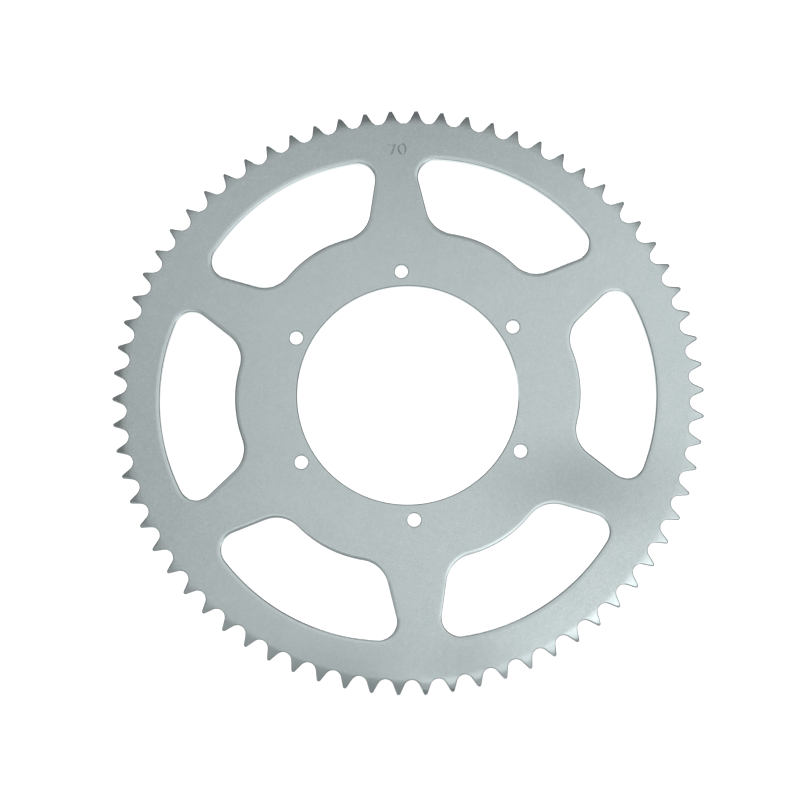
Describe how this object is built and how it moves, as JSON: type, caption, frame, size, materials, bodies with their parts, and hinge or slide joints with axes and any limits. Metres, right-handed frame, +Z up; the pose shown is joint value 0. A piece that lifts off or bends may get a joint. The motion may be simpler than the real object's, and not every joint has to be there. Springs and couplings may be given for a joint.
{
  "type": "rear chain sprocket",
  "caption": "Flat toothed steel plate with spokes, open windows, a large centre bore and a ring of bolt holes, which a drive chain turns to drive a small motorcycle's rear wheel.",
  "frame": {"origin": "centre of the bore, halfway through the plate's thickness", "axes": "+Y along the axle, from the front face with the stamped tooth count towards the wheel hub; +Z up along one spoke; +X to the right as seen from the front"},
  "size_m": [0.289, 0.004, 0.2892],
  "materials": {
    "zinc_plated_steel": "clear zinc plating on blanked steel, satin"
  },
  "bodies": {
    "root": {"sprocket_plate": "zinc_plated_steel"}
  },
  "joints": []
}
